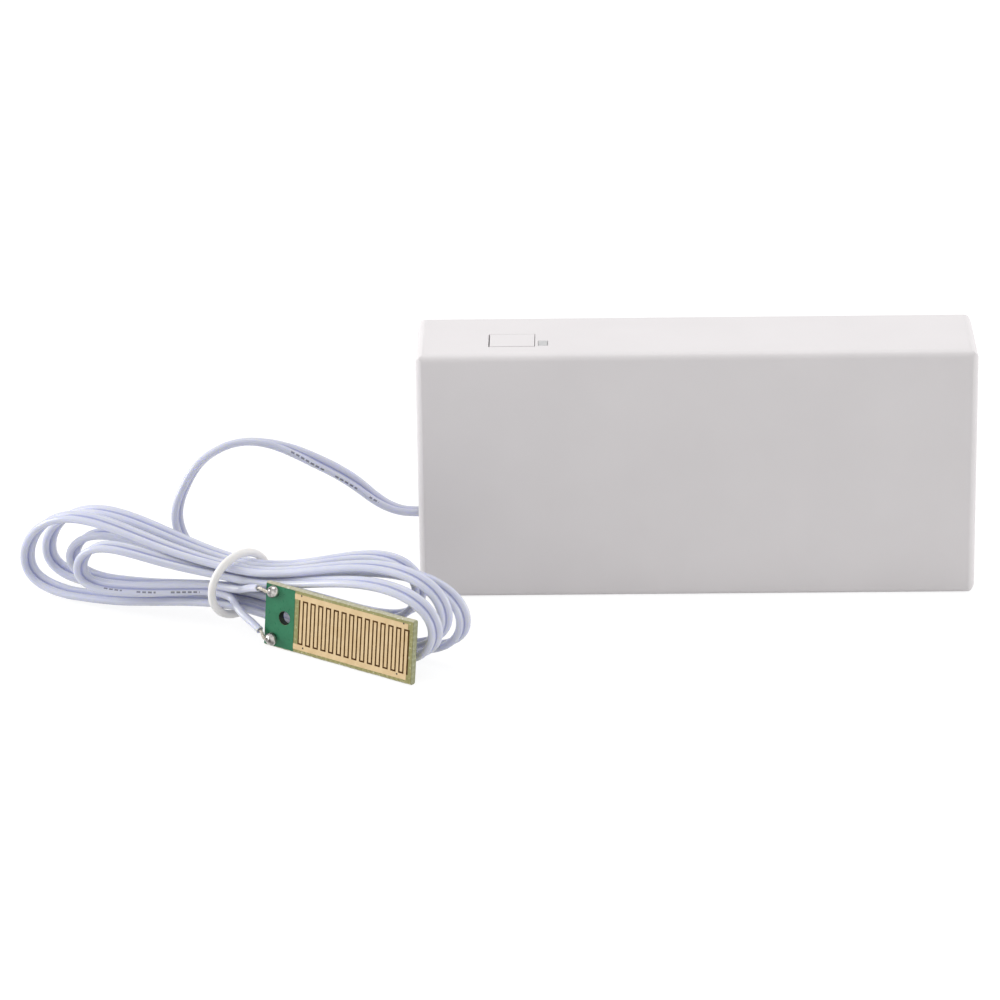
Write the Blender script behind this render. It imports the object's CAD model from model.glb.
"""Looks of a water leak sensor: a white battery case, a hanked flat lead and a comb-track sensing board.

Metres in Blender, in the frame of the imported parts: +Z up, the front face towards -Y, the origin at the
middle of the case's base. Routes and small sizes are written in millimetres and scaled once by MM.
"""
import math

import bmesh
import bpy
import numpy as np
from mathutils import Matrix, Vector


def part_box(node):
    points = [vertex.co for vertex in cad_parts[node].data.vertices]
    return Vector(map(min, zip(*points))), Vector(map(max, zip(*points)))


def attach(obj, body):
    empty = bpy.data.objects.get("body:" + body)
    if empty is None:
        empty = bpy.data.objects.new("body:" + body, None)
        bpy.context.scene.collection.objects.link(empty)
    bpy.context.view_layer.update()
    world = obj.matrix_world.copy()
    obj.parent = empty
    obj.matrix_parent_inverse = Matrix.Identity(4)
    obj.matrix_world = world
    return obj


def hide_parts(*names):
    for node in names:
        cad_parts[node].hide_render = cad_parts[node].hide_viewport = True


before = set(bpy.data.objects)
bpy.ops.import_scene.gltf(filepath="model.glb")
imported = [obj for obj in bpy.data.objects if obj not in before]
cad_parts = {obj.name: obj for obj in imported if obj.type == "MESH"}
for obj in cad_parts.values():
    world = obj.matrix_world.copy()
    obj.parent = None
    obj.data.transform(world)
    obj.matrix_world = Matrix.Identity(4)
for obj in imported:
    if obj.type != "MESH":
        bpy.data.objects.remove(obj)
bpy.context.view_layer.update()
MM = 0.001


# Camera of the photograph, a long lens from a little above the front
CAMERA_AT = (-22.083, -1014.583, 413.351)
CAMERA_PAN = 1.159
CAMERA_TILT = 21.301
CAMERA_ROLL = -0.930


def placed(name, data):
    """A new object in the scene, at the origin."""
    thing = bpy.data.objects.new(name, data)
    bpy.context.scene.collection.objects.link(thing)
    return thing


def make_camera():
    data = bpy.data.cameras.new("camera")
    data.lens = 180
    data.sensor_width = 36
    data.clip_end = 20
    camera = placed("camera", data)
    pan = Matrix.Rotation(math.radians(CAMERA_PAN), 4, "Z")
    tilt = Matrix.Rotation(math.radians(90 - CAMERA_TILT), 4, "X")
    roll = Matrix.Rotation(math.radians(CAMERA_ROLL), 4, "Z")
    camera.matrix_world = Matrix.Translation(Vector(CAMERA_AT) * MM) @ pan @ tilt @ roll
    bpy.context.scene.camera = camera


# Nodes, colours and finishes
def linear(code):
    """Linear RGBA of an sRGB hex colour."""
    parts = [int(code[i:i + 2], 16) / 255 for i in (1, 3, 5)]
    return [p / 12.92 if p <= 0.04045 else ((p + 0.055) / 1.055) ** 2.4 for p in parts] + [1]


def put(tree, kind, inputs=None, **settings):
    """Adds a node with its settings, and fills its inputs with values, an output, or a list of outputs."""
    node = tree.nodes.new(kind)
    for key, value in settings.items():
        setattr(node, key, value)
    for key, value in (inputs or {}).items():
        sockets = value if isinstance(value, list) and isinstance(value[0], bpy.types.NodeSocket) else [value]
        if isinstance(sockets[0], bpy.types.NodeSocket):
            for socket in sockets:
                tree.links.new(socket, node.inputs[key])
        else:
            node.inputs[key].default_value = value
    return node


def per_metre(size_mm):
    """Scale of a texture on metre coordinates whose features are size_mm across."""
    return 1 / (size_mm * MM)


def cleared_tree(owner):
    """The empty node tree of a material or a world."""
    owner.use_nodes = True
    owner.node_tree.nodes.clear()
    return owner.node_tree


def start_finish(name, constants):
    """A new material: its node tree, its shader with the constant sockets set, and its object coordinates."""
    finish = bpy.data.materials.new(name)
    tree = cleared_tree(finish)
    shader = put(tree, "ShaderNodeBsdfPrincipled", constants)
    put(tree, "ShaderNodeOutputMaterial", {"Surface": shader.outputs[0]})
    place = put(tree, "ShaderNodeTexCoord").outputs["Object"]
    return finish, tree, shader, place


def mottle(tree, place, size_mm, low, high, detail=2.0):
    """Two close tones of one colour in soft patches of size_mm."""
    patches = put(tree, "ShaderNodeTexNoise", {"Vector": place, "Scale": per_metre(size_mm), "Detail": detail})
    spread = put(tree, "ShaderNodeMapRange", {0: patches.outputs["Fac"], 1: 0.3, 2: 0.7})
    tones = {0: spread.outputs[0], 6: linear(low), 7: linear(high)}
    return put(tree, "ShaderNodeMix", tones, data_type="RGBA").outputs[2]


def grain(tree, shader, place, size_mm, depth_mm, strength, detail=2.0):
    """Fine relief of a moulded or worked surface."""
    relief = put(tree, "ShaderNodeTexNoise", {"Vector": place, "Scale": per_metre(size_mm), "Detail": detail})
    bump = {"Height": relief.outputs["Fac"], "Distance": depth_mm * MM, "Strength": strength}
    tree.links.new(put(tree, "ShaderNodeBump", bump).outputs[0], shader.inputs["Normal"])
    return relief.outputs["Fac"]


def vary(tree, shader, socket, driver, low, high):
    """A shader value that follows a pattern between two limits."""
    spread = put(tree, "ShaderNodeMapRange", {0: driver, 1: 0.3, 2: 0.7, 3: low, 4: high})
    tree.links.new(spread.outputs[0], shader.inputs[socket])


def moulded_abs(name, low, high):
    """ABS from a spark-eroded mould: satin white with a faint grain and a rare dark speck.

    The grain is drawn at 0.5 mm, coarser than the real one, so that it shows."""
    finish, tree, shader, place = start_finish(name, {"IOR": 1.53})
    tone = mottle(tree, place, 24, low, high)
    specks = put(tree, "ShaderNodeTexVoronoi", {"Vector": place, "Scale": per_metre(14)})
    near = put(tree, "ShaderNodeMapRange", {0: specks.outputs["Distance"], 1: 0.012, 2: 0.02, 3: 0.5, 4: 0.0})
    specked = {0: near.outputs[0], 6: tone, 7: linear("#9A9592")}
    tree.links.new(put(tree, "ShaderNodeMix", specked, data_type="RGBA").outputs[2], shader.inputs["Base Color"])
    relief = grain(tree, shader, place, 0.5, 0.03, 0.3)
    vary(tree, shader, "Roughness", relief, 0.38, 0.5)
    return finish


def lead_pvc(name, inked):
    """Soft extruded PVC, cool lavender white: light goes a little way in, and the die leaves faint lines.

    An inked lead carries short plain dashes in groups along one core."""
    finish, tree, shader, place = start_finish(name, {
        "IOR": 1.53, "Subsurface Weight": 0.5,
        "Subsurface Radius": (0.45, 0.5, 1.0), "Subsurface Scale": 0.0012})
    tone = mottle(tree, place, 9, "#D2D5E4", "#DBDDE9")
    along = put(tree, "ShaderNodeSeparateXYZ", {0: put(tree, "ShaderNodeUVMap", uv_map=LEAD_UV).outputs[0]})
    if inked:
        face = side_share(tree, along.outputs[1])
        from_groove = put(tree, "ShaderNodeMath", {0: face, 1: GROOVE_AT}, operation="SUBTRACT").outputs[0]
        far = put(tree, "ShaderNodeMath", {0: from_groove}, operation="ABSOLUTE").outputs[0]
        near = put(tree, "ShaderNodeMapRange", {0: far, 1: 0.01, 2: 0.2, 3: 0.6, 4: 0.0},
                   interpolation_type="SMOOTHSTEP")
        inked_part = ink_dashes(tree, along.outputs[0], face)
        for part, colour in ((near.outputs[0], "#9EA4D2"), (inked_part, "#5B5A6C")):
            tone = put(tree, "ShaderNodeMix", {0: part, 6: tone, 7: linear(colour)}, data_type="RGBA").outputs[2]
    tree.links.new(tone, shader.inputs["Base Color"])
    lines = put(tree, "ShaderNodeTexNoise", {"Vector": put(tree, "ShaderNodeCombineXYZ", {
        0: put(tree, "ShaderNodeMath", {0: along.outputs[0], 1: 0.05}, operation="MULTIPLY").outputs[0],
        1: put(tree, "ShaderNodeMath", {0: along.outputs[1], 1: 24.0}, operation="MULTIPLY").outputs[0],
    }).outputs[0], "Scale": 1.0, "Detail": 2.0})
    bump = {"Height": lines.outputs["Fac"], "Distance": 0.03 * MM, "Strength": 0.35}
    tree.links.new(put(tree, "ShaderNodeBump", bump).outputs[0], shader.inputs["Normal"])
    vary(tree, shader, "Roughness", lines.outputs["Fac"], 0.22, 0.34)
    return finish


# Ink dashes on the lead: from and to in millimetres along it, and the share of the way across its side
INK_STRETCHES = [(9.5, 11.9, 0.6), (15.2, 21.0, 0.6), (23.7, 32.1, 0.6),
                 (887.5, 891.7, 0.1), (894.9, 899.2, 0.1), (902.5, 908.9, 0.1)]
INK_STEP = 1.25
INK_DASH = 0.85
INK_HALF_HEIGHT = 0.045
INK_STRENGTH = 0.75
# Where the groove lies on each flat side, as a share of the way across it
GROOVE_AT = 0.9286


def side_share(tree, round_share):
    """The share of the way across whichever of the lead's two like sides a point lies on."""
    twice = put(tree, "ShaderNodeMath", {0: round_share, 1: 2.0}, operation="MULTIPLY").outputs[0]
    return put(tree, "ShaderNodeMath", {0: twice}, operation="FRACT").outputs[0]


def ink_dashes(tree, along, face):
    """Where the dashes are: on a few stretches, a repeat along them, and a narrow band round the section."""
    marked = 0.0
    for start, end, across in INK_STRETCHES:
        centre, reach = (start + end) / 2, (end - start) / 2
        inside = put(tree, "ShaderNodeMath", {0: along, 1: centre, 2: reach}, operation="COMPARE").outputs[0]
        band = put(tree, "ShaderNodeMath", {0: face, 1: across, 2: INK_HALF_HEIGHT}, operation="COMPARE").outputs[0]
        both = put(tree, "ShaderNodeMath", {0: inside, 1: band}, operation="MULTIPLY").outputs[0]
        marked = put(tree, "ShaderNodeMath", {0: both, 1: marked}, operation="MAXIMUM").outputs[0]
    step = put(tree, "ShaderNodeMath", {0: along, 1: INK_STEP}, operation="MODULO").outputs[0]
    dash = put(tree, "ShaderNodeMath", {0: step, 1: INK_DASH}, operation="LESS_THAN").outputs[0]
    dashes = put(tree, "ShaderNodeMath", {0: marked, 1: dash}, operation="MULTIPLY").outputs[0]
    return put(tree, "ShaderNodeMath", {0: dashes, 1: INK_STRENGTH}, operation="MULTIPLY").outputs[0]


def soft_pvc(name, low, high):
    """Soft PVC skin of a thin wire or tie: smooth and slightly waxy, with faint lines from the die along it."""
    finish, tree, shader, place = start_finish(name, {
        "IOR": 1.53, "Subsurface Weight": 0.15,
        "Subsurface Radius": (1.0, 0.9, 0.8), "Subsurface Scale": 0.0006})
    tree.links.new(mottle(tree, place, 5, low, high), shader.inputs["Base Color"])
    relief = grain(tree, shader, place, 0.7, 0.03, 0.25)
    vary(tree, shader, "Roughness", relief, 0.34, 0.48)
    return finish


def solder_mask(name, low, high):
    """Cured lacquer over a printed board: glossy and mottled, with the glass weave below it just felt."""
    finish, tree, shader, place = start_finish(name, {"IOR": 1.45, "Coat Weight": 0.05, "Coat Roughness": 0.15})
    tree.links.new(mottle(tree, place, 3.5, low, high, 4.0), shader.inputs["Base Color"])
    relief = grain(tree, shader, place, 0.6, 0.02, 0.3)
    vary(tree, shader, "Roughness", relief, 0.26, 0.4)
    return finish


# Spacing of the yarns in the board's glass cloth
YARN = 0.62


def glass_laminate(name, low, high, fray, sheen=0.5):
    """Bare glass-fibre laminate: olive resin over a crossed weave, paler where cut fibres lie open."""
    finish, tree, shader, place = start_finish(name, {
        "IOR": 1.52, "Specular IOR Level": sheen, "Subsurface Weight": 0.1,
        "Subsurface Radius": (1.0, 1.0, 0.5), "Subsurface Scale": 0.0005})
    local = put(tree, "ShaderNodeMapping", {
        "Vector": place, "Location": tuple(BOARD.translation), "Rotation": tuple(BOARD.to_euler())},
        vector_type="TEXTURE").outputs[0]
    yarns = []
    for direction in ("X", "Y"):
        wave = put(tree, "ShaderNodeTexWave", {
            "Vector": local, "Scale": per_metre(YARN) / 20 * math.pi, "Distortion": 1.2, "Detail": 1.0,
            "Detail Scale": 2.0}, bands_direction=direction)
        yarns.append(wave.outputs["Fac"])
    weave = put(tree, "ShaderNodeMath", {0: yarns[0], 1: yarns[1]}, operation="MULTIPLY").outputs[0]
    tone = put(tree, "ShaderNodeMix", {0: weave, 6: linear(low), 7: linear(high)}, data_type="RGBA").outputs[2]
    flecks = put(tree, "ShaderNodeTexNoise", {"Vector": place, "Scale": per_metre(0.5), "Detail": 4.0})
    open_fibre = put(tree, "ShaderNodeMapRange", {0: flecks.outputs["Fac"], 1: 0.6, 2: 0.68})
    frayed = {0: open_fibre.outputs[0], 6: tone, 7: linear(fray)}
    tree.links.new(put(tree, "ShaderNodeMix", frayed, data_type="RGBA").outputs[2], shader.inputs["Base Color"])
    bump = {"Height": weave, "Distance": 0.03 * MM, "Strength": 0.4}
    tree.links.new(put(tree, "ShaderNodeBump", bump).outputs[0], shader.inputs["Normal"])
    vary(tree, shader, "Roughness", flecks.outputs["Fac"], 0.42, 0.62)
    return finish


def plated_metal(name, low, high, rough, size_mm, stretch=(1, 1, 1)):
    """Plated metal: a mottled sheen, with fine marks from working it; stretched patches give it a grain."""
    finish, tree, shader, place = start_finish(name, {"Metallic": 1.0})
    drawn = put(tree, "ShaderNodeMapping", {"Vector": place, "Scale": stretch}).outputs[0]
    tree.links.new(mottle(tree, drawn, size_mm, low, high, 4.0), shader.inputs["Base Color"])
    relief = grain(tree, shader, drawn, size_mm / 3, 0.02, 0.25)
    vary(tree, shader, "Roughness", relief, *rough)
    return finish


def moulded_resin(name, low, high, rough, size_mm=1.5):
    """Moulded resin of a small component: even colour, fine pitted grain."""
    finish, tree, shader, place = start_finish(name, {"IOR": 1.52})
    tree.links.new(mottle(tree, place, size_mm, low, high), shader.inputs["Base Color"])
    relief = grain(tree, shader, place, 0.25, 0.02, 0.3)
    vary(tree, shader, "Roughness", relief, *rough)
    return finish


def frosted_acrylic(name):
    """Acrylic light guide with a frosted end: cloudy grey, light goes some way in."""
    finish, tree, shader, place = start_finish(name, {
        "IOR": 1.49, "Transmission Weight": 0.2, "Subsurface Weight": 0.3,
        "Subsurface Radius": (1.0, 1.0, 1.0), "Subsurface Scale": 0.001})
    tree.links.new(mottle(tree, place, 0.8, "#D6D6D7", "#DFDFDF"), shader.inputs["Base Color"])
    relief = grain(tree, shader, place, 0.15, 0.02, 0.4)
    vary(tree, shader, "Roughness", relief, 0.35, 0.5)
    return finish


# Pieces
LEAD_UV = "along_and_round"


def show(name, mesh, finishes, body, replaced=()):
    """A finished piece at the origin, with its materials, body, slot and the nodes it stands for."""
    piece = placed(name, mesh)
    for finish in finishes:
        mesh.materials.append(finish)
    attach(piece, body)
    if replaced:
        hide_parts(*replaced)
    return piece


def unit(vectors):
    return vectors / np.linalg.norm(vectors, axis=-1, keepdims=True)


def square_to(vectors, headings):
    """The vectors with their parts along the headings taken away, at unit length."""
    return unit(vectors - (vectors * headings).sum(-1, keepdims=True) * headings)


def smooth_line(points, steps, start=None, end=None):
    """A smooth curve through the points, with steps to each stretch; start and end are headings there."""
    points = np.array(points, float)
    first, last = points[1] - points[0], points[-1] - points[-2]
    before = points[0] - (first if start is None else np.linalg.norm(first) * np.array(start))
    after = points[-1] + (last if end is None else np.linalg.norm(last) * np.array(end))
    knots = np.vstack([before, points, after])
    times = np.concatenate([[0], np.cumsum(np.sqrt(np.linalg.norm(np.diff(knots, axis=0), axis=1)))])
    line = []
    for i in range(1, len(knots) - 2):
        t0, t1, t2, t3 = times[i - 1:i + 3]
        p0, p1, p2, p3 = knots[i - 1:i + 3]
        for t in np.linspace(t1, t2, steps, endpoint=False):
            a1 = (t1 - t) / (t1 - t0) * p0 + (t - t0) / (t1 - t0) * p1
            a2 = (t2 - t) / (t2 - t1) * p1 + (t - t1) / (t2 - t1) * p2
            a3 = (t3 - t) / (t3 - t2) * p2 + (t - t2) / (t3 - t2) * p3
            b1 = (t2 - t) / (t2 - t0) * a1 + (t - t0) / (t2 - t0) * a2
            b2 = (t3 - t) / (t3 - t1) * a2 + (t - t1) / (t3 - t1) * a3
            line.append((t2 - t) / (t2 - t1) * b1 + (t - t1) / (t2 - t1) * b2)
    return np.array(line + [points[-1]])


def headings_of(line):
    return unit(np.gradient(line, axis=0))


def steady_frame(line, side):
    """Two unit vectors across a line at each point, carried along it without turning about it."""
    headings = headings_of(line)
    wide = [square_to(np.array(side, float), headings[0])]
    for heading in headings[1:]:
        wide.append(square_to(wide[-1], heading))
    wide = np.array(wide)
    return wide, np.cross(headings, wide)


def circle(radius, sides):
    turns = np.arange(sides) * 2 * math.pi / sides
    return radius * np.column_stack([np.cos(turns), np.sin(turns)])


def ring_faces(count, sides):
    """Faces round a row of rings, stretch by stretch, then the caps at its two ends."""
    faces = []
    for i in range(count - 1):
        for k in range(sides):
            a, b = i * sides + k, i * sides + (k + 1) % sides
            faces.append((a, b, b + sides, a + sides))
    return faces + [tuple(range(sides))[::-1], tuple(range((count - 1) * sides, count * sides))]


def swept_mesh(name, line, wide, thick, section):
    """A closed skin of a section carried along a line, in millimetres.

    The section is one outline for all points or one for each. The UV map holds millimetres along the line
    and the share of the way round."""
    section = np.broadcast_to(section, (len(line),) + np.shape(section)[-2:])
    rings = line[:, None] + section[..., :1] * wide[:, None] + section[..., 1:] * thick[:, None]
    count, sides = rings.shape[:2]
    along = np.concatenate([[0], np.cumsum(np.linalg.norm(np.diff(line, axis=0), axis=1))])
    places = []
    for here, there in zip(along, along[1:]):
        for k in range(sides):
            low, high = k / sides, (k + 1) / sides
            places += [(here, low), (here, high), (there, high), (there, low)]
    shares = [k / sides for k in range(sides)]
    places += [(along[0], part) for part in shares[::-1]] + [(along[-1], part) for part in shares]
    mesh = bpy.data.meshes.new(name)
    mesh.from_pydata((rings.reshape(-1, 3) * MM).tolist(), [], ring_faces(count, sides))
    layer = mesh.uv_layers.new(name=LEAD_UV)
    layer.data.foreach_set("uv", np.array(places, np.float32).ravel())
    mesh.shade_smooth()
    mesh.set_sharp_from_angle(angle=math.radians(50))
    return mesh


def taken(piece):
    """The evaluated mesh of an object with its modifiers, as a plain mesh; the object is deleted."""
    bpy.context.view_layer.update()
    mesh = bpy.data.meshes.new_from_object(piece.evaluated_get(bpy.context.evaluated_depsgraph_get()))
    mesh.name = piece.name
    bpy.data.objects.remove(piece)
    return mesh


def softened(mesh, width, segments=2, cutters=()):
    """The mesh with openings cut by other meshes, its hard edges rounded by a width in millimetres."""
    piece = placed(mesh.name, mesh)
    tools = []
    for cutter in cutters:
        tool = placed("cutter", cutter)
        cut = piece.modifiers.new("cut", "BOOLEAN")
        cut.object, cut.operation, cut.solver = tool, "DIFFERENCE", "EXACT"
        tools.append(tool)
    round_off = piece.modifiers.new("round_off", "BEVEL")
    round_off.width, round_off.segments = width * MM, segments
    round_off.limit_method, round_off.angle_limit = "ANGLE", math.radians(32)
    even = piece.modifiers.new("even", "WEIGHTED_NORMAL")
    even.keep_sharp = True
    mesh.shade_smooth()
    result = taken(piece)
    for tool in tools:
        bpy.data.objects.remove(tool)
    return result


def merged_copy(node):
    """A copy of a part's mesh with its loose triangles joined into whole faces."""
    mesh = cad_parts[node].data.copy()
    mesh.name = node + "_form"
    mesh.materials.clear()
    form = bmesh.new()
    form.from_mesh(mesh)
    bmesh.ops.remove_doubles(form, verts=form.verts, dist=0.002 * MM)
    bmesh.ops.dissolve_limit(form, angle_limit=math.radians(0.6), verts=form.verts, edges=form.edges)
    form.to_mesh(mesh)
    form.free()
    return mesh


def skin(name, rings, indices=None, caps=0):
    """A closed mesh through rings of points in millimetres, with a material for each stretch and the caps."""
    rings = np.array(rings, float)
    count, sides = rings.shape[:2]
    finishes = [index for index in indices or [0] * (count - 1) for _ in range(sides)] + [caps, caps]
    mesh = bpy.data.meshes.new(name)
    mesh.from_pydata((rings.reshape(-1, 3) * MM).tolist(), [], ring_faces(count, sides))
    mesh.polygons.foreach_set("material_index", finishes)
    form = bmesh.new()
    form.from_mesh(mesh)
    bmesh.ops.recalc_face_normals(form, faces=form.faces)
    form.to_mesh(mesh)
    form.free()
    return mesh


def start_tree(name, sizes):
    """A Geometry Nodes tree that takes a mesh of places, named sizes and a finish."""
    tree = bpy.data.node_groups.new(name, "GeometryNodeTree")
    tree.interface.new_socket("Places", in_out="INPUT", socket_type="NodeSocketGeometry")
    for size, kind in sizes.items():
        tree.interface.new_socket(size, in_out="INPUT", socket_type=kind)
    tree.interface.new_socket("Finish", in_out="INPUT", socket_type="NodeSocketMaterial")
    tree.interface.new_socket("Geometry", in_out="OUTPUT", socket_type="NodeSocketGeometry")
    return tree, put(tree, "NodeGroupInput").outputs


def end_tree(tree, given, geometry):
    whole = put(tree, "GeometryNodeRealizeInstances", {"Geometry": geometry})
    dressed = put(tree, "GeometryNodeSetMaterial", {"Geometry": whole.outputs[0], "Material": given["Finish"]})
    put(tree, "NodeGroupOutput", {"Geometry": dressed.outputs[0]})
    return tree


def grown(name, tree, places, sizes, finish):
    """The mesh that a tree makes at places given in millimetres; lengths among the sizes are in metres."""
    mesh = bpy.data.meshes.new(name)
    mesh.from_pydata([[c * MM for c in place] for place in places], [], [])
    piece = placed(name, mesh)
    grow = piece.modifiers.new("grow", "NODES")
    grow.node_group = tree
    given = dict(sizes, Finish=finish)
    for item in tree.interface.items_tree:
        if item.in_out == "INPUT" and item.name in given:
            grow[item.identifier] = given[item.name]
    return taken(piece)


FLOAT, COUNT = "NodeSocketFloat", "NodeSocketInt"


# The flat two-core lead: its free stretch, its figure-of-eight hank and its two cores
LEAD_WIDTH = 3.3
LEAD_THICKNESS = 1.65
GROOVE_HALF = 0.36
# The hank lies under its tie at this place and heading, with its middle at this height
HANK_AT = np.array([-97.0, -27.0, 0.0])
HANK_TURN = -30
ALONG = np.array([math.cos(math.radians(HANK_TURN)), math.sin(math.radians(HANK_TURN)), 0])
ACROSS = np.array([-ALONG[1], ALONG[0], 0])
UPWARD = np.array([0.0, 0.0, 1.0])
HANK_HEIGHT = 9.4
# Spacing of the strands in the tie, and of the loops: their step across, nesting, lowest and highest runs
STRAND_ROW = 2.15
STRAND_COLUMN = 3.76
LOOP_STEP = 4.0
LOOP_NEST = 2.6
STRAND_LOW = 1.3
LEFT_TOP = 20.0
RIGHT_TOP = 22.0
RIGHT_BACK = 1.0
LEFT_FRONT = 4.5
# How far out the tie draws the strands in, and the form of a loop: its lean, crowded ends and peak
WAIST = 25.0
LEFT_SHARE = 0.75
LOOP_LEAN = 0.35
RING_CROWD = 0.3
RUN_PEAK = 1.089
# How far the flat side turns to the front on the loops' runs, and at their ends
FACE_UP = 0.5
FACE_ALONG = 0.7
# Column and row of each pass through the tie, in the lead's order
PASSES = [(1, 0), (1, 2), (1, -2), (1, 1), (1, -1), (-1, 2), (-1, -2), (-1, 1), (-1, -0.5)]
# Each loop's reach from the tie to the right and left, and its runs' heights in steps of the nesting
RIGHT_REACH = [40, 53, 51, 51]
LEFT_REACH = [-52.3, -43, -52.3, -35.5]
RIGHT_LOW_STEPS = [1.3, 0, 0.6, 0]
RIGHT_TOP_STEPS = [0, 1, 0, 1]
LEFT_TOP_STEPS = [0, 1, -0.6, 0.3]
LEFT_LOW_STEPS = [0, 1, 0, 1.6]
# Where the cores part, along the hank, and the turn kept free before it
SPLIT_ALONG = -6.0
SPLIT_CLEAR = 0.02
# Share of the last loop over which the lead turns on edge before its cores part
EDGE_FROM, EDGE_TO = 10 / 18, 16 / 18
# Routes of the free stretch from the wall and of the two parted cores
FREE_ROUTE = [
    (-60, -2.5, 16.2), (-63.5, -2.5, 16.4), (-66.5, -2.5, 17.4), (-69.5, -2.5, 19.3),
    (-74, -2.8, 23.2), (-78, -3, 26), (-82, -3.3, 28.3), (-87, -3.7, 30.9),
    (-92, -4.2, 32.8), (-96.5, -4.8, 33.6), (-100.5, -5.4, 33.2), (-103.8, -6, 31.9),
    (-106.6, -6.5, 30), (-108.8, -6.9, 27.4), (-110.5, -7.3, 24.4), (-111.9, -7.8, 21),
    (-112.4, -8.3, 17.8), (-111.8, -9.2, 14.8), (-110.2, -10.7, 12.2), (-107.9, -13, 10.6),
    (-105.5, -16.3, 9.8), (-102.4, -20.2, 9.5), (-99, -23.7, 9.4),
]
UPPER_CORE = [(-97.5, -30.6, 9.7), (-96, -32.8, 10.8), (-94.6, -35, 11.8), (-93.3, -36.9, 12.6)]
LOWER_CORE = [(-99.7, -28.8, 7), (-98.4, -31.5, 6.1), (-96.9, -33.8, 5.2), (-95, -36, 4.4),
              (-93.2, -38.2, 3.5)]
# Places by x on the free stretch: its swing to the hank's heading, and its leans to the front and back, in degrees
SWING_FROM, SWING_TO = -96, -112
FRONT_LEAN, FRONT_FROM, FRONT_TO = -58, -62, -94
CREST_LEAN, CREST_FROM, CREST_TO = 18, -86, -111
LOBE_STEPS = 72
FREE_STEPS = 6
# Half turn of each core's outline from its outer edge to the groove, and the points on it
CORE_OUTLINE = 138
CORE_POINTS = 13


def share(value, start, end):
    return np.clip((value - start) / (end - start), 0, 1)


def hump(value, start, end):
    return np.sin(math.pi * share(value, start, end)) ** 2


def drawn_in(out, length):
    """How far the strands are drawn together at a distance out from the tie."""
    return np.exp(-(out / length) ** 2)


def pass_place(i):
    """Across and up of pass i through the tie."""
    column, row = PASSES[i]
    return column * STRAND_COLUMN / 2, HANK_HEIGHT + row * STRAND_ROW


def lobe_line(i, reach, lobe_across, first_z, last_z, sag, waist_share):
    """One loop of the hank, from pass i to its reach and back to pass i + 1; the last ends at the split."""
    u = np.arange(LOBE_STEPS) / LOBE_STEPS
    turn = math.pi * (u - RING_CROWD * np.sin(2 * math.pi * u) / (2 * math.pi))
    if i == len(PASSES) - 2:
        split_turn = math.pi - math.asin(SPLIT_ALONG / reach)
        turn = np.append(turn[turn < split_turn - SPLIT_CLEAR], split_turn)
    s, c = np.sin(turn), np.cos(turn)
    out = reach * s
    waist, side_waist = drawn_in(out, WAIST), drawn_in(out, WAIST * waist_share)
    later = (1 - c) / 2
    rise = np.maximum(-1, c * (1 + s * s) / RUN_PEAK - sag * s ** 6)
    lobe_z = (first_z + last_z) / 2 + (first_z - last_z) / 2 * rise
    (b0, z0), (b1, z1) = pass_place(i), pass_place(i + 1)
    b = lobe_across * (1 - side_waist) + side_waist * (b0 * (1 - later) + b1 * later)
    z = lobe_z * (1 - waist) + waist * (z0 * (1 - later) + z1 * later)
    return HANK_AT + out[:, None] * ALONG + b[:, None] * ACROSS + z[:, None] * UPWARD


def lead_line():
    """The lead's middle line from the wall to where its cores part, its width and its thickness directions."""
    loops = len(RIGHT_REACH)
    hank = []
    for k in range(loops):
        across = ((loops - 1) / 2 - k) * LOOP_STEP
        low, top = STRAND_LOW + RIGHT_LOW_STEPS[k] * LOOP_NEST, RIGHT_TOP - RIGHT_TOP_STEPS[k] * LOOP_NEST
        hank.append(lobe_line(2 * k, RIGHT_REACH[k], across + RIGHT_BACK, low, top, 0, 1))
        low, top = STRAND_LOW + LEFT_LOW_STEPS[k] * LOOP_NEST, LEFT_TOP - LEFT_TOP_STEPS[k] * LOOP_NEST
        hank.append(lobe_line(2 * k + 1, LEFT_REACH[k], across - LEFT_FRONT, top, low, LOOP_LEAN, LEFT_SHARE))
    hank = np.vstack(hank)
    free = smooth_line(FREE_ROUTE + [tuple(hank[0])], FREE_STEPS, start=(1, 0, 0), end=ALONG)
    line = np.vstack([free[:-1], hank])
    headings = headings_of(line)
    headings[0], headings[-1] = (-1, 0, 0), ALONG
    # The free stretch leaves the wall level, leans to the front on its way up and turns with the hank
    far = np.minimum.accumulate(line[:, 0])
    swing = np.radians(90 + HANK_TURN * share(far, SWING_FROM, SWING_TO))
    aim = np.column_stack([np.cos(swing), np.sin(swing), 0 * swing])
    free_count = len(free) - 1
    loop = 1 - drawn_in((hank - HANK_AT) @ ALONG, WAIST)[:, None]
    aim[free_count:] = ACROSS + loop * (FACE_ALONG * ALONG + FACE_UP * UPWARD)
    level = square_to(aim, headings)
    lean = FRONT_LEAN * hump(far, FRONT_FROM, FRONT_TO) + CREST_LEAN * hump(far, CREST_FROM, CREST_TO)
    lean[free_count:] = 0
    last_loop = free_count + (2 * loops - 1) * LOBE_STEPS
    tail_share = (np.arange(len(line)) - last_loop) / LOBE_STEPS
    lean += 90 * np.sin(math.pi / 2 * share(tail_share, EDGE_FROM, EDGE_TO)) ** 2
    lean = np.radians(lean)[:, None]
    face = np.cross(headings, level)
    wide = np.cos(lean) * level + np.sin(lean) * face
    return line, wide, np.cross(headings, wide)


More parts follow.
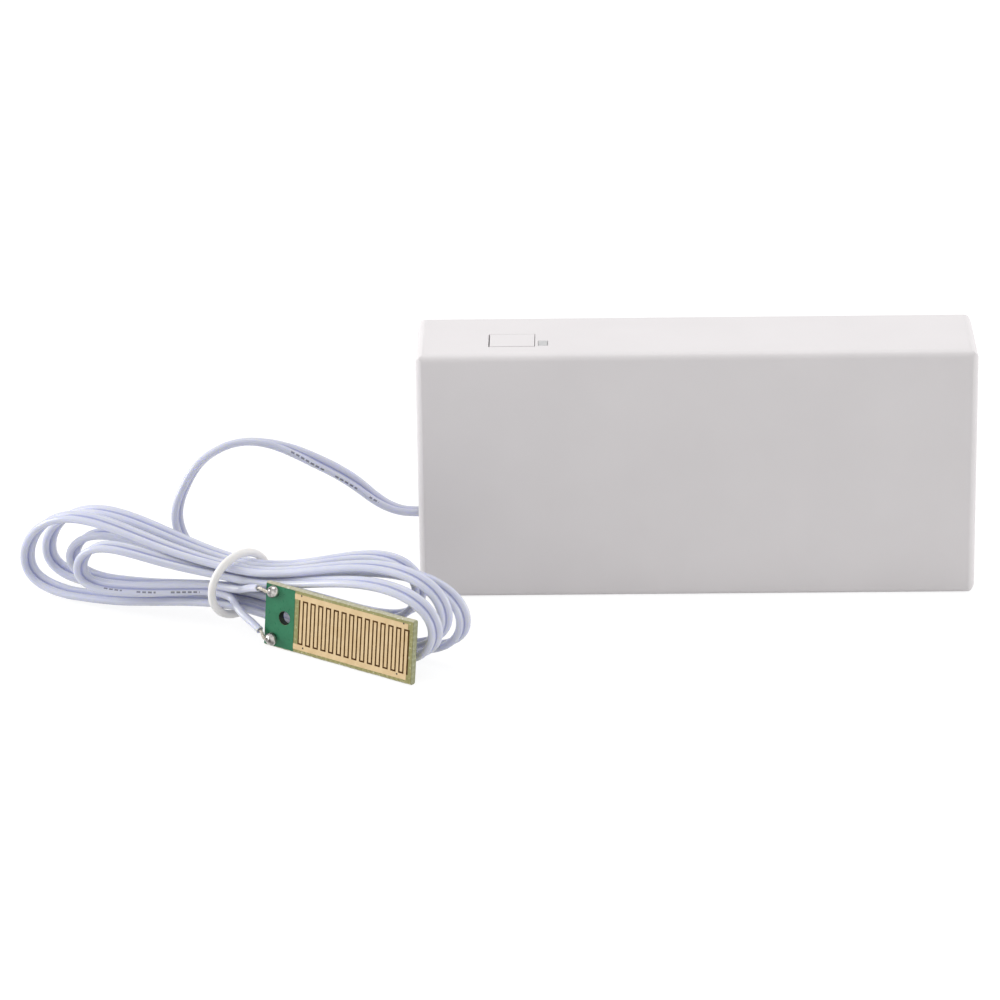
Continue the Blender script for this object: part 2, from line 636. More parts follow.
def lead_section():
    """Two round cores side by side with a groove between them, from the edge of one core round the other."""
    radius = LEAD_THICKNESS / 2
    middle = LEAD_WIDTH / 2 - radius
    turns = np.radians(np.linspace(-CORE_OUTLINE, CORE_OUTLINE, CORE_POINTS))
    right = np.column_stack([middle + radius * np.cos(turns), radius * np.sin(turns)])
    return np.vstack([right, [(0, GROOVE_HALF)], -right, [(0, -GROOVE_HALF)]])


def make_lead():
    line, wide, thick = lead_line()
    mesh = swept_mesh("lead", line, wide, thick, lead_section())
    lead = show("lead", mesh, [lead_pvc("soft_pvc_lead", True)], "case", ["cord_free", "cord_hank"])
    return lead, line


# The sensing board stands at a slant on its long edge; x along it, y up its face, z out of its face
BOARD_LENGTH, BOARD_HEIGHT, BOARD_THICKNESS = 39.0, 14.0, 1.6
BOARD_TURN, BOARD_LEAN = math.radians(-35.5), math.radians(6.5)
BOARD_AT = np.array([-92.4, -38.2, BOARD_THICKNESS * math.sin(BOARD_LEAN)])
BOARD_ALONG = np.array([math.cos(BOARD_TURN), math.sin(BOARD_TURN), 0])
BOARD_UP = math.cos(BOARD_LEAN) * UPWARD + math.sin(BOARD_LEAN) * np.array([-BOARD_ALONG[1], BOARD_ALONG[0], 0])
BOARD_OUT = np.cross(BOARD_ALONG, BOARD_UP)
BOARD = Matrix.Translation(Vector(BOARD_AT) * MM) @ Matrix(
    [BOARD_ALONG.tolist(), BOARD_UP.tolist(), BOARD_OUT.tolist()]).transposed().to_4x4()


# Cores: the bore of the conductor, open at the cut end, and their points and sides
CORE_BORE, CORE_BORE_DEPTH = 0.45, 0.5
CORE_STEPS, ROUND_SIDES = 6, 20


def core_line(split_at, side, route):
    """The middle line of one core, from the split along its route; side is up or down."""
    start = split_at + side * LEAD_THICKNESS / 2 * UPWARD
    points = [start, start + LEAD_THICKNESS * ALONG] + [np.array(p) for p in route]
    return smooth_line(points, CORE_STEPS, start=ALONG)


def make_core(name, node, split_at, side, route, finish):
    """One core of the parted lead, cut square, with the bore of its conductor open at the end."""
    line = core_line(split_at, side, route)
    wide, thick = steady_frame(line, UPWARD)
    heading = headings_of(line)[-1]
    line = np.vstack([line, line[-1], line[-1] - CORE_BORE_DEPTH * heading])
    wide, thick = (np.vstack([d, d[-1], d[-1]]) for d in (wide, thick))
    radii = np.full(len(line), LEAD_THICKNESS / 2)
    radii[-2:] = CORE_BORE
    section = circle(1.0, ROUND_SIDES)[None] * radii[:, None, None]
    return show(name, swept_mesh(name, line, wide, thick, section), [finish], "case", [node])


# Bare ends: seven tinned strands twisted together, from each core over the board's edge into its bead
STRANDS = 7
STRAND = 0.24
STRAND_LAY = 4.5
BEAD_IN, BEAD_EDGE = 2.1, 1.8
BARE_INSIDE, BARE_STRAIGHT = 0.45, 0.6
# Distance before the bead's middle and height over the board, on the way in and at the end
BARE_OVER, BARE_END = (1.2, 1.1), (0.0, 0.75)
BARE_STEPS = 9


def on_board(x, y, out):
    """A point by its place along and up the board and its height over the face."""
    return BOARD_AT + x * BOARD_ALONG + y * BOARD_UP + out * BOARD_OUT


def together(name, meshes):
    """One mesh of several."""
    form = bmesh.new()
    for mesh in meshes:
        form.from_mesh(mesh)
    whole = bpy.data.meshes.new(name)
    form.to_mesh(whole)
    form.free()
    return whole


def make_bare_ends(split_at, finish):
    """Strands laid round a middle one, on the line from each core's end to its bead."""
    strands = []
    for side, route, bead_y in ((1, UPPER_CORE, BOARD_HEIGHT - BEAD_EDGE), (-1, LOWER_CORE, BEAD_EDGE)):
        core = core_line(split_at, side, route)
        end, heading = core[-1], headings_of(core)[-1]
        points = [end - BARE_INSIDE * heading, end + BARE_STRAIGHT * heading]
        points += [on_board(BEAD_IN - before, bead_y, out) for before, out in (BARE_OVER, BARE_END)]
        line = smooth_line(points, BARE_STEPS, start=heading)
        wide, thick = steady_frame(line, UPWARD)
        along = np.concatenate([[0], np.cumsum(np.linalg.norm(np.diff(line, axis=0), axis=1))])
        for k in range(STRANDS):
            turn = (k * 2 * math.pi / (STRANDS - 1) + along / STRAND_LAY * 2 * math.pi)[:, None]
            out = 0 if k == STRANDS - 1 else STRAND
            middle = line + out * (np.cos(turn) * wide + np.sin(turn) * thick)
            strands.append(swept_mesh("strand", middle, *steady_frame(middle, UPWARD), circle(STRAND / 2, 8)))
    mesh = together("bare_strands", strands)
    return show("bare_strands", mesh, [finish], "case", ["wire_ends"])


# Tie: one plastic-covered wire round the hank, its two ends twisted together behind it
TIE_RADIUS, TIE_WIRE, TIE_SHIFT = 7.3, 1.75, -1.2
TIE_TURN, TIE_LEAN = math.radians(40), math.radians(99)
TIE_TWIST_LENGTH, TIE_TWIST_PITCH, TIE_TWIST_WIRE = 7.0, 4.0, 1.2
TIE_TWIST_HEADING = np.array([0.397, -0.342, 0.852])
# Degrees of the ring left open on each side of the twist, where the twist begins, and the taper's points
TIE_OPEN, TIE_TWIST_FROM, TIE_TWIST_CLEAR, TIE_TAPER = 9, 0.9, 0.3, 4
TIE_POINTS, TIE_TWIST_POINTS = 80, 26


def make_tie(finish):
    """One wire: a twisted end, the ring, and the other twisted end, thinner where it is twisted."""
    tilt = np.array(Matrix.Rotation(TIE_TURN, 3, "Z") @ Matrix.Rotation(TIE_LEAN, 3, "X"))
    middle = HANK_AT + TIE_SHIFT * ALONG + HANK_HEIGHT * UPWARD
    turns = np.radians(np.linspace(TIE_OPEN, 360 - TIE_OPEN, TIE_POINTS))
    ring = TIE_RADIUS * np.column_stack([np.cos(turns), np.sin(turns), 0 * turns])
    base = np.array([TIE_RADIUS + TIE_WIRE / 2, 0, 0])
    side = square_to(np.array([0.0, 1.0, 0.0]), TIE_TWIST_HEADING)
    other = np.cross(TIE_TWIST_HEADING, side)
    ends = []
    for sign in (1, -1):
        far = np.linspace(TIE_TWIST_FROM, TIE_TWIST_LENGTH, TIE_TWIST_POINTS)[:, None]
        turn = far / TIE_TWIST_PITCH * 2 * math.pi
        helix = base + far * TIE_TWIST_HEADING
        ends.append(helix + sign * TIE_TWIST_WIRE / 2 * (np.cos(turn) * side + np.sin(turn) * other))
    path = smooth_line(np.vstack([ends[0][::-1], ring, ends[1]]), 2)
    thin = np.linalg.norm(path, axis=1) > TIE_RADIUS + TIE_TWIST_CLEAR
    half = np.where(thin, TIE_TWIST_WIRE, TIE_WIRE) / 2
    window = 2 * TIE_TAPER + 1
    half = np.convolve(np.pad(half, TIE_TAPER, mode="edge"), np.ones(window) / window, mode="valid")
    line = middle + path @ tilt.T
    section = circle(1.0, ROUND_SIDES)[None] * half[:, None, None]
    mesh = swept_mesh("tie", line, *steady_frame(line, UPWARD), section)
    return show("tie", mesh, [finish], "case", ["cord_tie"])


# Score left along the board's long edges where it was snapped from its panel
SCORE_IN, SCORE_DEEP = 0.28, 0.32
# How uneven the score and the break are, how far that eats in, and the points along an edge and an end
UNEVEN_SCORE, UNEVEN_BREAK, EATEN_IN = 1.0, 0.6, 0.03
EDGE_POINTS, END_POINTS = 90, 6
MASK_START, MASK_END, MASK_EDGE_IN = 0.05, 7.8, SCORE_IN + 0.02
HOLE_IN, HOLE_RADIUS, MASK_HOLE_PLAY = 5.2, 1.5, 0.03
CUT_PAST = 3
FILM, ETCHED_FILM = 0.06, 0.015


def rough(x, seed):
    """Small uneven steps of a snapped edge, the same on each run."""
    return 0.05 * np.sin(5.3 * x + seed) * np.sin(2.1 * x + 3 * seed) + 0.035 * np.sin(13.7 * x + 2 * seed)


def board_outline(x0, x1, inset, uneven, z):
    """Ring round the board at one depth: bottom edge, right end, top edge, left end."""
    x = np.linspace(x0, x1, EDGE_POINTS)
    low = inset + uneven * (rough(x, 1.0) + EATEN_IN)
    high = BOARD_HEIGHT - inset - uneven * (rough(x, 2.5) + EATEN_IN)
    up = np.linspace(0, 1, END_POINTS + 2)[1:-1]
    right, left = (np.column_stack([np.full(END_POINTS, x[k]), low[k] + (high[k] - low[k]) * up]) for k in (-1, 0))
    ring = np.vstack([np.column_stack([x, low]), right, np.column_stack([x, high])[::-1], left[::-1]])
    return np.column_stack([ring, np.full(len(ring), z)])


def fixing_hole(radius):
    """A cutter for the fixing hole, in the board's own place."""
    outline = circle(radius, 40) + (HOLE_IN, BOARD_HEIGHT / 2)
    ends = [np.column_stack([outline, np.full(len(outline), z)]) for z in (-CUT_PAST, CUT_PAST)]
    return skin("hole", ends)


def make_board(laminate, cut_edge, cut_end, bored, mask, etched):
    """The bare board with its snapped edges and fixing hole, its mask and the etched ground of the combs."""
    depths = [(0, SCORE_IN, UNEVEN_SCORE), (-SCORE_DEEP, 0, UNEVEN_BREAK),
              (SCORE_DEEP - BOARD_THICKNESS, 0, UNEVEN_BREAK), (-BOARD_THICKNESS, SCORE_IN, UNEVEN_SCORE)]
    rings = [board_outline(0, BOARD_LENGTH, inset, uneven, z) for z, inset, uneven in depths]
    slab = softened(skin("sensing_board", rings, [1, 1, 1]), 0.0, cutters=[fixing_hole(HOLE_RADIUS)])
    # The short ends take the sawn finish, and the wall of the hole the bored one
    for face in slab.polygons:
        off_hole = math.hypot(face.center.x - HOLE_IN * MM, face.center.y - BOARD_HEIGHT / 2 * MM)
        if abs(face.normal.x) > 0.95:
            face.material_index = 2
        if abs(face.normal.z) < 0.1 and off_hole < 1.1 * HOLE_RADIUS * MM:
            face.material_index = 3
    slab.transform(BOARD)
    show("sensing_board", slab, [laminate, cut_edge, cut_end, bored], "case", ["probe_board"])
    rings = [board_outline(MASK_START, MASK_END, MASK_EDGE_IN, UNEVEN_BREAK, z) for z in (0, FILM)]
    film = softened(skin("mask_film", rings), 0.0, cutters=[fixing_hole(HOLE_RADIUS + MASK_HOLE_PLAY)])
    film.transform(BOARD)
    show("mask_film", film, [mask], "case", ["probe_mask"])
    x0, x1 = COMB_FIRST - FINGER_GAP, COMB_END + FINGER_GAP
    inner = [(x0, COMB_LOW), (x1, COMB_LOW), (x1, COMB_HIGH), (x0, COMB_HIGH)]
    etch = skin("etched_gap", [[(x, y, z) for x, y in inner] for z in (0, ETCHED_FILM)])
    etch.transform(BOARD)
    show("etched_gap", etch, [etched], "case")


# Two combs of gilt track, the fingers of each between those of the other
FINGERS, FINGER_WIDTH, FINGER_GAP = 14, 0.65, 0.38
FINGER_PITCH = 2 * (FINGER_WIDTH + FINGER_GAP)
TRACK_BORDER, BUS_WIDTH = 0.9, 1.2
COMB_FIRST = MASK_END + 1.5
COMB_END = COMB_FIRST + FINGERS * FINGER_PITCH - FINGER_GAP
COMB_LOW, COMB_HIGH = TRACK_BORDER + BUS_WIDTH, BOARD_HEIGHT - TRACK_BORDER - BUS_WIDTH


def comb_tree():
    """Fingers on a straight row, joined by one long track across their ends."""
    tree, given = start_tree("track_comb", {
        "Fingers": COUNT, "First": FLOAT, "Pitch": FLOAT, "Finger Width": FLOAT, "Finger Length": FLOAT,
        "Finger Middle": FLOAT, "Bus Length": FLOAT, "Bus Width": FLOAT, "Bus Middle X": FLOAT,
        "Bus Middle Y": FLOAT, "Thickness": FLOAT})
    half = put(tree, "ShaderNodeMath", {0: given["Thickness"], 1: 0.5}, operation="MULTIPLY").outputs[0]
    first, pitch, finger_size, bus_size, bus_middle = (
        put(tree, "ShaderNodeCombineXYZ", dict(enumerate(parts))).outputs[0] for parts in (
            (given["First"], given["Finger Middle"], half), (given["Pitch"], 0.0, 0.0),
            (given["Finger Width"], given["Finger Length"], given["Thickness"]),
            (given["Bus Length"], given["Bus Width"], given["Thickness"]),
            (given["Bus Middle X"], given["Bus Middle Y"], half)))
    row = put(tree, "GeometryNodeMeshLine", {
        "Count": given["Fingers"], "Start Location": first, "Offset": pitch}, mode="OFFSET")
    bar = put(tree, "GeometryNodeMeshCube", {"Size": finger_size})
    fingers = put(tree, "GeometryNodeRealizeInstances", {0: put(tree, "GeometryNodeInstanceOnPoints", {
        "Points": row.outputs[0], "Instance": bar.outputs[0]}).outputs[0]})
    bus = put(tree, "GeometryNodeTransform", {
        "Geometry": put(tree, "GeometryNodeMeshCube", {"Size": bus_size}).outputs[0], "Translation": bus_middle})
    whole = put(tree, "GeometryNodeMeshBoolean", {1: [fingers.outputs[0], bus.outputs[0]]},
                operation="UNION", solver="EXACT")
    return end_tree(tree, given, whole.outputs[0])


def make_combs(finish):
    tree = comb_tree()
    upper = (COMB_FIRST, COMB_LOW + FINGER_GAP, COMB_HIGH + BUS_WIDTH / 2, COMB_HIGH)
    lower = (COMB_FIRST + FINGER_PITCH / 2, COMB_LOW - BUS_WIDTH / 2, COMB_HIGH - FINGER_GAP, TRACK_BORDER)
    for name, (first, y0, y1, bus_y) in (("sense_comb_upper", upper), ("sense_comb_lower", lower)):
        mesh = grown(name, tree, [], {
            "Fingers": FINGERS, "First": (first + FINGER_WIDTH / 2) * MM, "Pitch": FINGER_PITCH * MM,
            "Finger Width": FINGER_WIDTH * MM,
            "Finger Length": (y1 - y0) * MM, "Finger Middle": (y0 + y1) / 2 * MM,
            "Bus Length": (COMB_END - MASK_END) * MM, "Bus Width": BUS_WIDTH * MM,
            "Bus Middle X": (MASK_END + COMB_END) / 2 * MM, "Bus Middle Y": (bus_y + BUS_WIDTH / 2) * MM,
            "Thickness": FILM * MM}, finish)
        mesh.transform(BOARD)
        show("gilt_" + name, mesh, [], "case", [name])


# Small plated-through holes at the ends of the long tracks
VIA_PLACES = [(9.57, 12.9), (10.43, 1.53), (36.57, 13), (35.37, 1.72)]
VIA_RADIUS, VIA_PLUG = 0.2, 0.012


def make_vias(finish):
    """Filled holes that stand a hair over the tracks."""
    tree, given = start_tree("plated_holes", {"Radius": FLOAT, "Height": FLOAT})
    plug = put(tree, "GeometryNodeMeshCone", {
        "Vertices": 16, "Radius Top": given["Radius"], "Radius Bottom": given["Radius"],
        "Depth": given["Height"]})
    on_places = put(tree, "GeometryNodeInstanceOnPoints", {"Points": given["Places"], "Instance": plug.outputs[0]})
    end_tree(tree, given, on_places.outputs[0])
    mesh = grown("plated_holes", tree, [(x, y, FILM) for x, y in VIA_PLACES],
                 {"Radius": VIA_RADIUS * MM, "Height": VIA_PLUG * MM}, finish)
    mesh.transform(BOARD)
    show("plated_holes", mesh, [], "case")


# Solder joint: a wetted foot that draws up round the wire into a blunt dome; radius and height in millimetres
BEAD_PROFILE = [(1.46, 0.06), (1.44, 0.2), (1.42, 0.4), (1.36, 0.65), (1.26, 0.9), (1.1, 1.13), (0.88, 1.33),
                (0.62, 1.47), (0.34, 1.54), (0.12, 1.56), (0.02, 1.56)]
BEAD_SIDES = 36


def make_beads(finish):
    """Two joints turned from one profile, each a little out of round in its own way."""
    beads = []
    for y, seed in ((BOARD_HEIGHT - BEAD_EDGE, 0.4), (BEAD_EDGE, 2.2)):
        rings = []
        for radius, height in BEAD_PROFILE:
            turns = np.arange(BEAD_SIDES) * 2 * math.pi / BEAD_SIDES
            uneven = 1 + 0.05 * np.sin(2 * turns + seed) + 0.03 * np.sin(3 * turns + 2 * seed + height)
            lift = 0.06 * height * np.sin(turns + seed)
            rings.append(np.column_stack([BEAD_IN + radius * uneven * np.cos(turns),
                                          y + radius * uneven * np.sin(turns), height + lift]))
        beads.append(skin("bead", rings))
    mesh = together("solder_beads", beads)
    mesh.shade_smooth()
    mesh.set_sharp_from_angle(angle=math.radians(60))
    mesh.transform(BOARD)
    show("solder_joints", mesh, [finish], "case", ["solder_beads"])


# Case mouldings
def make_mouldings(abs_case, abs_button, acrylic):
    """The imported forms, with their edges eased by a width in millimetres, as a mould leaves them."""
    for name, node, edge, body, slot, finish in (
            ("case_shell", "front_shell", 0.12, "case", "case_plastic", abs_case),
            ("cover_plate", "rear_cover", 0.2, "case", "case_plastic", abs_case),
            ("door_leaf", "battery_door", 0.25, "door", "case_plastic", abs_case),
            ("button_cap", "test_button", 0.07, "button", "button_plastic", abs_button),
            ("light_guide", "light_pipe", 0.1, "case", "light_guide", acrylic)):
        show(name, softened(merged_copy(node), edge), [finish], body, [node])


# A screw's head as drums: shares of its radius at foot and top, and of its height for the foot's place and the depth
HEAD_DRUMS = [(1.0, 1.0, -1.0, 0.6), (1.0, 0.9, -0.4, 0.25), (0.9, 0.66, -0.15, 0.15)]
CROSS_REACH, CROSS_DEPTH = 1.1, 1.2


def screw_tree():
    """Pan-head screws with a cross recess at each place, their heads towards +Y."""
    tree, given = start_tree("cross_recess_screws", {
        "Head Radius": FLOAT, "Head Height": FLOAT, "Shank Radius": FLOAT, "Shank Length": FLOAT,
        "Cross Width": FLOAT})
    radius, height, shank, length = (given[k] for k in ("Head Radius", "Head Height", "Shank Radius", "Shank Length"))
    below = put(tree, "ShaderNodeMath", {0: height, 1: length}, operation="ADD").outputs[0]
    drums = [((radius, foot), (radius, top), (height, at), (height, depth)) for foot, top, at, depth in HEAD_DRUMS]
    drums.append(((shank, 1.0), (shank, 1.0), (below, -1.0), (length, 1.0)))
    parts = []
    for drum in drums:
        foot, top, at, depth = (put(tree, "ShaderNodeMath", {0: size, 1: times}, operation="MULTIPLY").outputs[0]
                                for size, times in drum)
        cone = put(tree, "GeometryNodeMeshCone", {
            "Vertices": 32, "Radius Top": top, "Radius Bottom": foot, "Depth": depth})
        up = put(tree, "ShaderNodeCombineXYZ", {2: at}).outputs[0]
        parts.append(put(tree, "GeometryNodeTransform", {"Geometry": cone.outputs[0], "Translation": up}).outputs[0])
    body = put(tree, "GeometryNodeMeshBoolean", {1: parts}, operation="UNION", solver="EXACT").outputs[0]
    reach, deep = (put(tree, "ShaderNodeMath", {0: size, 1: times}, operation="MULTIPLY").outputs[0]
                   for size, times in ((radius, CROSS_REACH), (height, CROSS_DEPTH)))
    slot_size = put(tree, "ShaderNodeCombineXYZ", {0: reach, 1: given["Cross Width"], 2: deep}).outputs[0]
    slot = put(tree, "GeometryNodeMeshCube", {"Size": slot_size}).outputs[0]
    crossing = put(tree, "GeometryNodeTransform", {"Geometry": slot, "Rotation": (0, 0, math.pi / 2)}).outputs[0]
    cut = put(tree, "GeometryNodeMeshBoolean", {0: body, 1: [slot, crossing]},
              operation="DIFFERENCE", solver="EXACT").outputs[0]
    on_places = put(tree, "GeometryNodeInstanceOnPoints", {
        "Points": given["Places"], "Instance": cut, "Rotation": (-math.pi / 2, 0, 0)})
    return end_tree(tree, given, on_places.outputs[0])


# Screw places as x, head face y, z, and their sizes: head radius and height, shank radius and length
CASE_SCREWS = [(x, 12.4, z) for x in (-53, 53) for z in (7, 48.5)]
BOARD_SCREWS = [(-38.2, -4.3, 10.8), (-8.8, -4.3, 10.8), (-8.8, -4.3, 47.7), (-43.2, -4.3, 37.5)]
CASE_SCREW, BOARD_SCREW = (2.3, 1.3, 1.2, 8.0), (1.7, 1.1, 0.9, 4.6)
CROSS_WIDTH = 0.5


def make_screws(finish):
    tree = screw_tree()
    for name, places, (head, tall, shank, length) in (
            ("case_screws", CASE_SCREWS, CASE_SCREW), ("board_screws", BOARD_SCREWS, BOARD_SCREW)):
        mesh = grown(name, tree, places, {
            "Head Radius": head * MM, "Head Height": tall * MM, "Shank Radius": shank * MM,
            "Shank Length": length * MM, "Cross Width": CROSS_WIDTH * MM}, finish)
        mesh.shade_smooth()
        mesh.set_sharp_from_angle(angle=math.radians(28))
        show("zinc_" + name, mesh, [], "case", [name])


# Inside the case. A cell's outline: distance from its flat end, radius, and 0 for its sleeve or 1 for bare steel
CELL_PROFILE = [
    (0, 0.02, 1), (0, 4.6, 1), (0.12, 5.0, 1), (0.12, 6.2, 1), (0.02, 6.5, 0), (0.05, 6.95, 0), (0.3, 7.2, 0),
    (0.6, 7.25, 0), (12, 7.25, 0), (37, 7.25, 0), (48.9, 7.25, 0), (49.3, 7.2, 0), (49.5, 6.95, 0),
    (49.5, 6.4, 1), (49.32, 6.2, 1), (49.32, 3.2, 1), (49.4, 2.8, 1), (50.25, 2.7, 1), (50.45, 2.5, 1),
    (50.5, 2.2, 1), (50.5, 0.02, 1),
]
CELL_SIDES = 56


def make_cell(name, direction, sleeve, steel):
    """An AA cell: sleeved can, crimped ends, raised contact towards the given direction along X."""
    low, high = np.array(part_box(name)) / MM
    start = low[0] if direction > 0 else high[0]
    middle = (low[1:] + high[1:]) / 2
    outline = circle(1.0, CELL_SIDES)[:, ::direction]
    rings = [np.column_stack([np.full(CELL_SIDES, start + direction * x), middle + radius * outline])
             for x, radius, _ in CELL_PROFILE]
    mesh = skin(name, rings, [kind for _, _, kind in CELL_PROFILE[1:]], caps=1)
    mesh.shade_smooth()
    mesh.set_sharp_from_angle(angle=math.radians(40))
    show("sleeved_" + name, mesh, [sleeve, steel], "case", [name])


SPRING_WIRE, SPRING_RADIUS, SPRING_TIP, SPRING_TURNS, SPRING_LENGTH = 0.7, 3.8, 2.8, 3, 4.2
SPRING_STEPS, SPRING_SIDES = 36, 12


def make_spring(name, direction, finish):
    """A cone spring of one round wire, from its plate to the cell."""
    low, high = np.array(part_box(name)) / MM
    start = low[0] if direction > 0 else high[0]
    u = np.linspace(0, 1, SPRING_TURNS * SPRING_STEPS + 1)
    radius, turn = SPRING_RADIUS + (SPRING_TIP - SPRING_RADIUS) * u, 2 * math.pi * SPRING_TURNS * u
    cell_low, cell_high = np.array(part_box("cell_" + name.split("_")[1])) / MM
    middle = (cell_low + cell_high) / 2
    line = np.column_stack([start + direction * (SPRING_WIRE / 2 + u * (SPRING_LENGTH - SPRING_WIRE)),
                            middle[1] + radius * np.cos(turn), middle[2] + radius * np.sin(turn)])
    mesh = swept_mesh(name, line, *steady_frame(line, (1, 0, 0)), circle(SPRING_WIRE / 2, SPRING_SIDES))
    show("coiled_" + name, mesh, [finish], "case", [name])


# Battery wires from their tabs to the board's pads, in millimetres
WIRE = 1.3
WIRE_STEPS, WIRE_SIDES = 10, 16
WIRE_TAB, WIRE_PAD = (-5.95, 3.35), (-7.6, -5.3)
TAB_STRAIGHT, PAD_STRAIGHT = 3, 2.4


def make_wire(name, tab_z, pad_z, finish):
    """One battery wire, straight out of its tab and into its pad."""
    (tab_x, tab_y), (pad_x, pad_y) = WIRE_TAB, WIRE_PAD
    points = [(tab_x, tab_y, tab_z), (tab_x, tab_y - TAB_STRAIGHT, tab_z),
              (pad_x, pad_y + PAD_STRAIGHT, pad_z), (pad_x, pad_y, pad_z)]
    line = smooth_line(points, WIRE_STEPS, start=(0, -1, 0), end=(0, -1, 0))
    mesh = swept_mesh(name, line, *steady_frame(line, (1, 0, 0)), circle(WIRE / 2, WIRE_SIDES))
    show("smooth_" + name, mesh, [finish], "case", [name])


def dress(finishes):
    """Gives parts that keep their packed form their finish."""
    for finish, nodes in finishes:
        for node in nodes:
            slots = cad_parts[node].data.materials
            slots.clear()
            slots.append(finish)


# Light and floor: strengths of the sky and of the floor to the eye, and the greys of the paper
SKY = 0.64
FLOOR_SEEN = 0.87
PAPER, PAPER_IN_SHADOW = 0.8, 0.22


def background_share(tree):
    """One for rays from the eye, from a mirror or through glass, which see a white surrounding."""
    path = put(tree, "ShaderNodeLightPath")
    seen = path.outputs["Is Camera Ray"]
    for ray in ("Is Glossy Ray", "Is Transmission Ray"):
        seen = put(tree, "ShaderNodeMath", {0: seen, 1: path.outputs[ray]}, operation="MAXIMUM").outputs[0]
    return seen


def make_world():
    world = bpy.data.worlds.new("studio")
    bpy.context.scene.world = world
    tree = cleared_tree(world)
    light = put(tree, "ShaderNodeBackground", {"Color": (1, 1, 1, 1), "Strength": SKY})
    white = put(tree, "ShaderNodeBackground", {"Color": (1, 1, 1, 1), "Strength": 1.0})
    mix = put(tree, "ShaderNodeMixShader", {
        0: background_share(tree), 1: light.outputs[0], 2: white.outputs[0]})
    put(tree, "ShaderNodeOutputWorld", {"Surface": mix.outputs[0]})


def make_lamp(name, at, aim, size, watts):
    data = bpy.data.lights.new(name, "AREA")
    data.shape = "DISK"
    data.size = size
    data.energy = watts
    lamp = placed(name, data)
    at, aim = Vector(at), Vector(aim)
    lamp.matrix_world = Matrix.Translation(at) @ (aim - at).to_track_quat("-Z", "Y").to_matrix().to_4x4()


def make_floor():
    """White paper sweep: the eye sees it nearly white, with a faint shadow under the object."""
    finish = bpy.data.materials.new("paper_sweep")
    tree = cleared_tree(finish)
    matt = put(tree, "ShaderNodeBsdfDiffuse", {"Color": (PAPER,) * 3 + (1,)})
    shaded = put(tree, "ShaderNodeBsdfDiffuse", {"Color": (PAPER_IN_SHADOW,) * 3 + (1,)})
    glow = put(tree, "ShaderNodeEmission", {"Color": (1, 1, 1, 1), "Strength": FLOOR_SEEN})
    seen = put(tree, "ShaderNodeAddShader", {0: shaded.outputs[0], 1: glow.outputs[0]})
    mix = put(tree, "ShaderNodeMixShader", {0: background_share(tree), 1: matt.outputs[0], 2: seen.outputs[0]})
    put(tree, "ShaderNodeOutputMaterial", {"Surface": mix.outputs[0]})
    half, down = 3.0, -0.00005
    mesh = bpy.data.meshes.new("floor")
    corners = [(-half, -half, down), (half, -half, down), (half, half, down), (-half, half, down)]
    mesh.from_pydata(corners, [], [(0, 1, 2, 3)])
    mesh.materials.append(finish)
    placed("floor", mesh)


bpy.context.scene.view_settings.view_transform = "Standard"
make_camera()
make_world()
make_lamp("overhead_softbox", (-0.02, 0.25, 1.3), (-0.02, 0.0, 0.0), 0.9, 4.2)
make_lamp("left_softbox", (-1.3, 0.12, 0.35), (0.0, 0.0, 0.03), 0.6, 8)
make_lamp("right_softbox", (1.3, 0.12, 0.35), (0.0, 0.0, 0.03), 0.6, 5)
make_floor()
lead, lead_path = make_lead()
pvc = lead_pvc("soft_pvc_core", False)
split_at = lead_path[-1]
tinned = plated_metal("tinned_copper", "#BDB6AB", "#D6D0C6", (0.22, 0.36), 0.6)
on_lead = [make_core("upper_core", "core_upper", split_at, 1, UPPER_CORE, pvc),
           make_core("lower_core", "core_lower", split_at, -1, LOWER_CORE, pvc),
           make_bare_ends(split_at, tinned),
           make_tie(soft_pvc("soft_pvc_tie", "#F4F2F0", "#F9F7F5"))]

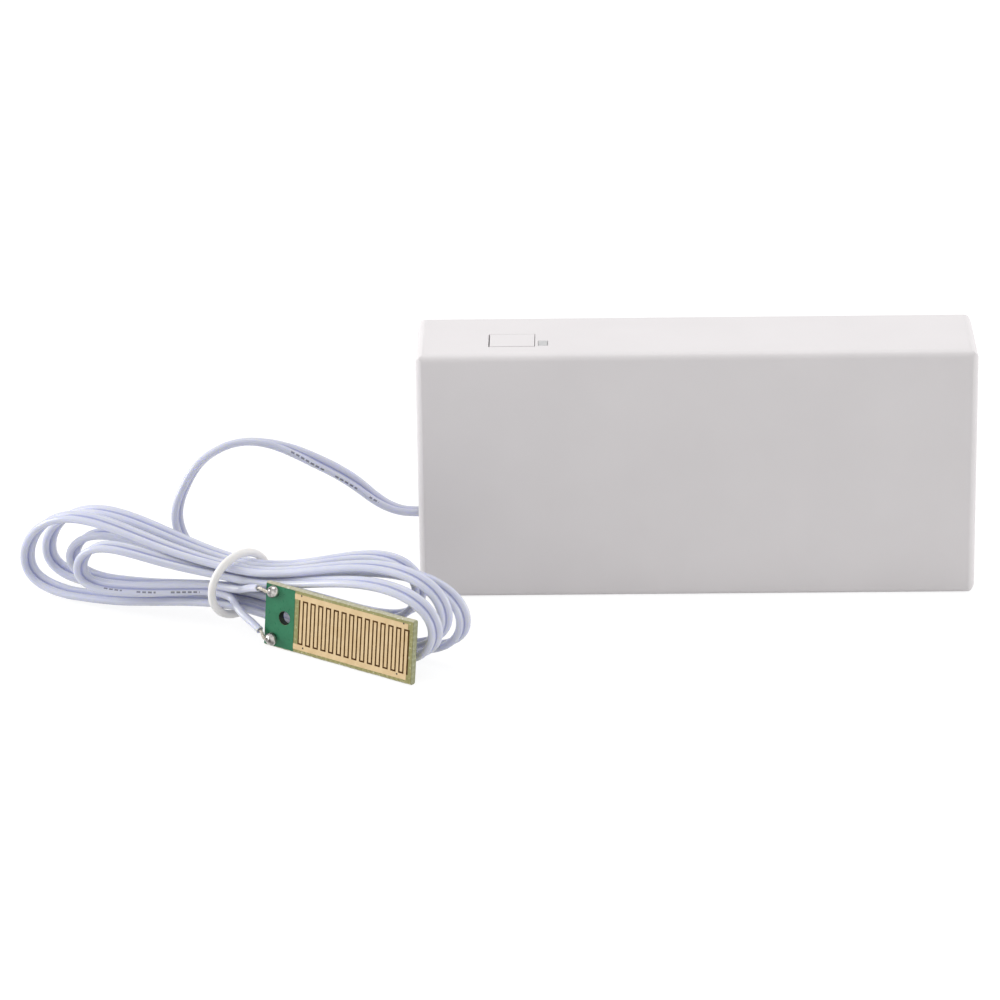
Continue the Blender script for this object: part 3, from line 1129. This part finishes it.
make_board(glass_laminate("glass_laminate", "#96925A", "#A5A16C", "#C6C3A0"),
           glass_laminate("snapped_laminate", "#BDB99C", "#D4D1BC", "#EFECE0"),
           glass_laminate("sawn_laminate", "#989A74", "#A6A784", "#C2C2A4"),
           glass_laminate("bored_laminate", "#0F1F15", "#1A3020", "#32452E", sheen=0.2),
           solder_mask("green_solder_mask", "#156B48", "#227C55"),
           glass_laminate("etched_laminate", "#4E3212", "#5C3E1A", "#6E5028", sheen=0.1))
make_combs(plated_metal("immersion_gold", "#CDB48C", "#D9C29C", (0.42, 0.55), 2.2))
make_vias(moulded_resin("via_resin", "#2A2622", "#3A342C", (0.5, 0.65)))
make_beads(plated_metal("bright_solder", "#2A2522", "#F0ECE8", (0.06, 0.16), 1.5))

make_mouldings(moulded_abs("satin_abs_case", "#E6E2E3", "#EAE6E7"),
               moulded_abs("satin_abs_button", "#E6E2E3", "#EAE6E7"), frosted_acrylic("frosted_acrylic"))
zinc = plated_metal("zinc_plated_steel", "#B9BBBE", "#D2D4D6", (0.25, 0.42), 0.9)
make_screws(zinc)
nickel = plated_metal("nickel_plated_steel", "#BDB8AE", "#D3CFC6", (0.2, 0.34), 1.2, (0.15, 1, 1))
sleeve = plated_metal("foil_sleeve", "#4C4E53", "#5C5F64", (0.3, 0.42), 6.0, (0.1, 1, 1))
make_cell("cell_lower", 1, sleeve, nickel)
make_cell("cell_upper", -1, sleeve, nickel)
make_spring("spring_lower", 1, nickel)
make_spring("spring_upper", -1, nickel)
make_wire("lead_red", 35.15, 31.15, soft_pvc("red_pvc", "#A3201C", "#B22A24"))
make_wire("lead_black", 20.35, 24.35, soft_pvc("black_pvc", "#1D1D1F", "#262628"))
dress([
    (nickel, ["plate_negative", "plate_positive", "plate_link", "radio_shield"]),
    (moulded_resin("black_epoxy", "#1B1B1C", "#262627", (0.45, 0.62)),
     ["switch_plunger", "switch_body", "controller_chip", "regulator"]),
    (moulded_resin("clear_resin", "#D9D3BE", "#E6E1D0", (0.12, 0.22)), ["status_led"]),
    (solder_mask("green_board_mask", "#164D2B", "#1D5B34"), ["main_board"]),
    (solder_mask("blue_board_mask", "#12264F", "#18305F"), ["radio_board"]),
    (soft_pvc("shrunk_sleeve", "#171C33", "#20263F"), ["capacitor"]),
    (moulded_resin("natural_nylon", "#DDD6C2", "#E6E0CE", (0.4, 0.55)),
     ["probe_socket", "probe_plug", "lead_stop"]),
    (soft_pvc("soft_pvc_inner_lead", "#D6DAF2", "#DEE1F5"), ["inner_lead"]),
])
